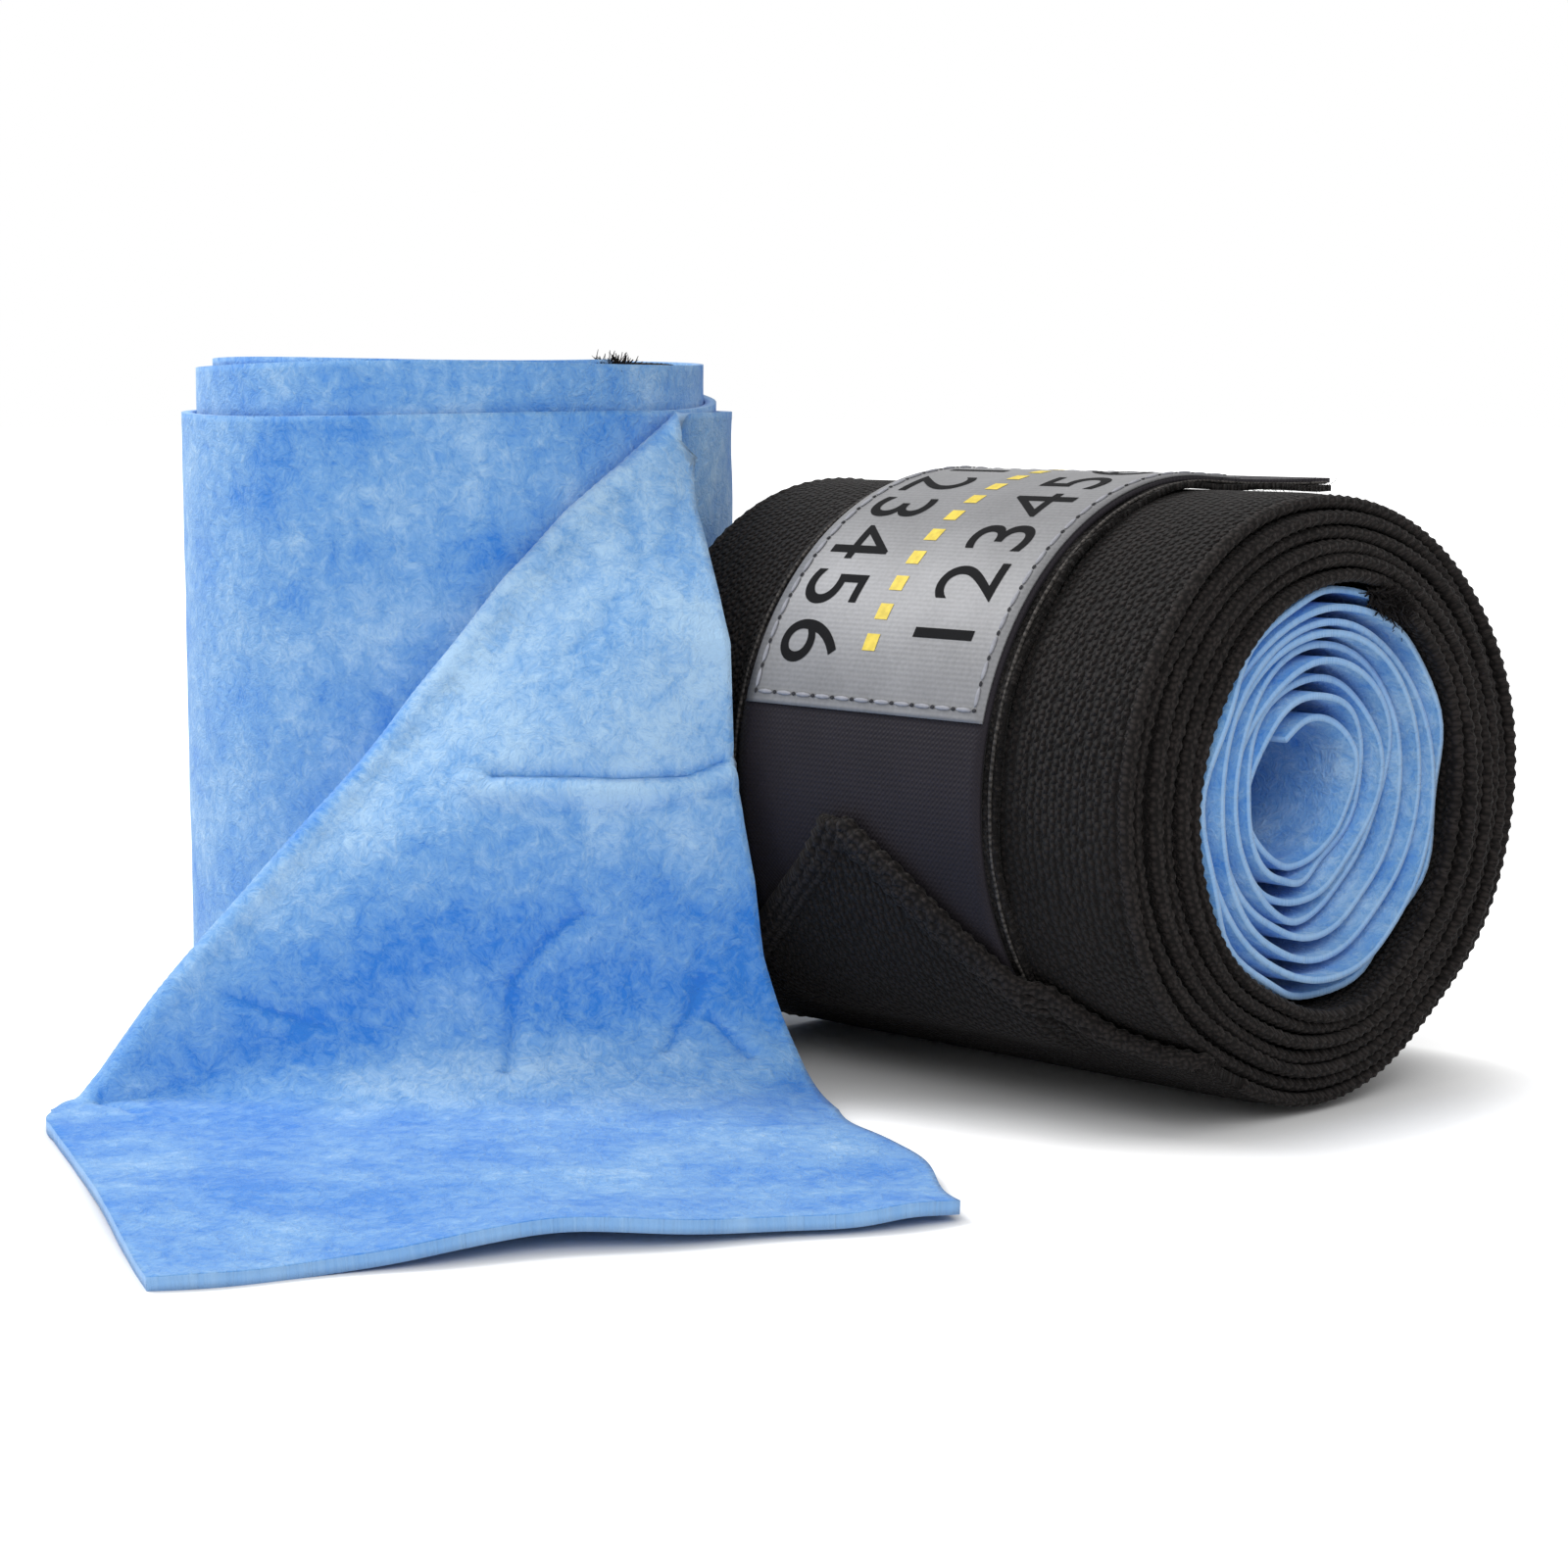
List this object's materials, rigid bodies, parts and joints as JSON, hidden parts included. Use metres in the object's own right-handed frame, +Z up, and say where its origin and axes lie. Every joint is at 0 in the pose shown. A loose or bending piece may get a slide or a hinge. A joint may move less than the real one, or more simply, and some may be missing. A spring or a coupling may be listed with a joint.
{
  "type": "cooling wrap pair",
  "caption": "Pair of rolled limb wraps, each a blue chamois cooling sheet sewn to a black knitted elastic band with a hook-and-loop strap; one is strapped shut, one is open.",
  "frame": {"origin": "on the ground, at the middle of the pair's footprint", "axes": "+Z up; +X along the closed roll's axis, towards its open end; +Y from the free end towards the closed roll"},
  "size_m": [0.2016, 0.22, 0.1075],
  "materials": {
    "cooling_sheet": "matte chamois",
    "elastic": "ribbed knit",
    "strap_tape": "woven tape",
    "hook_tape": "hooked pile",
    "label": "grey reflective coating",
    "thread": "twisted thread"
  },
  "bodies": {
    "open_wrap": {"open_sheet_outer_turn": "cooling_sheet", "open_sheet_inner_turns": "cooling_sheet", "open_sheet_folded_run": "cooling_sheet", "open_sheet_flap": "cooling_sheet", "open_join_seam": "thread", "open_elastic_band": "elastic", "open_pointed_end": "elastic", "open_hook_tape": "hook_tape", "open_strap_tape": "strap_tape", "open_label": "label", "open_label_stitching": "thread"},
    "free_end": {"open_sheet_free_end": "cooling_sheet"},
    "closed_wrap": {"closed_cooling_sheet": "cooling_sheet", "closed_join_seam": "thread", "closed_elastic_band": "elastic", "closed_pointed_end": "elastic", "closed_end_overlock": "elastic", "closed_strap_root": "strap_tape", "closed_hook_tape_root": "hook_tape", "closed_label_root": "label", "closed_label_stitching_root": "thread"},
    "closed_strap": {"closed_strap_tape": "strap_tape", "closed_hook_tape": "hook_tape", "closed_label": "label", "closed_label_stitching": "thread"}
  },
  "joints": [
    {"name": "pull_apart", "type": "slide", "parent": "open_wrap", "child": "closed_wrap", "axis": [0, 1, 0], "range_m": [0, 0.12]},
    {"name": "strap_peel", "type": "hinge", "parent": "closed_wrap", "child": "closed_strap", "pos_m": [0.04358, 0.02347, 0.06958], "axis": [1, 0, 0], "range_deg": [0, 70]},
    {"name": "free_end_lift", "type": "hinge", "parent": "open_wrap", "child": "free_end", "pos_m": [-0.00008, -0.02245, 0.0018], "axis": [-0.6106, -0.7919, 0], "range_deg": [0, 45]}
  ]
}
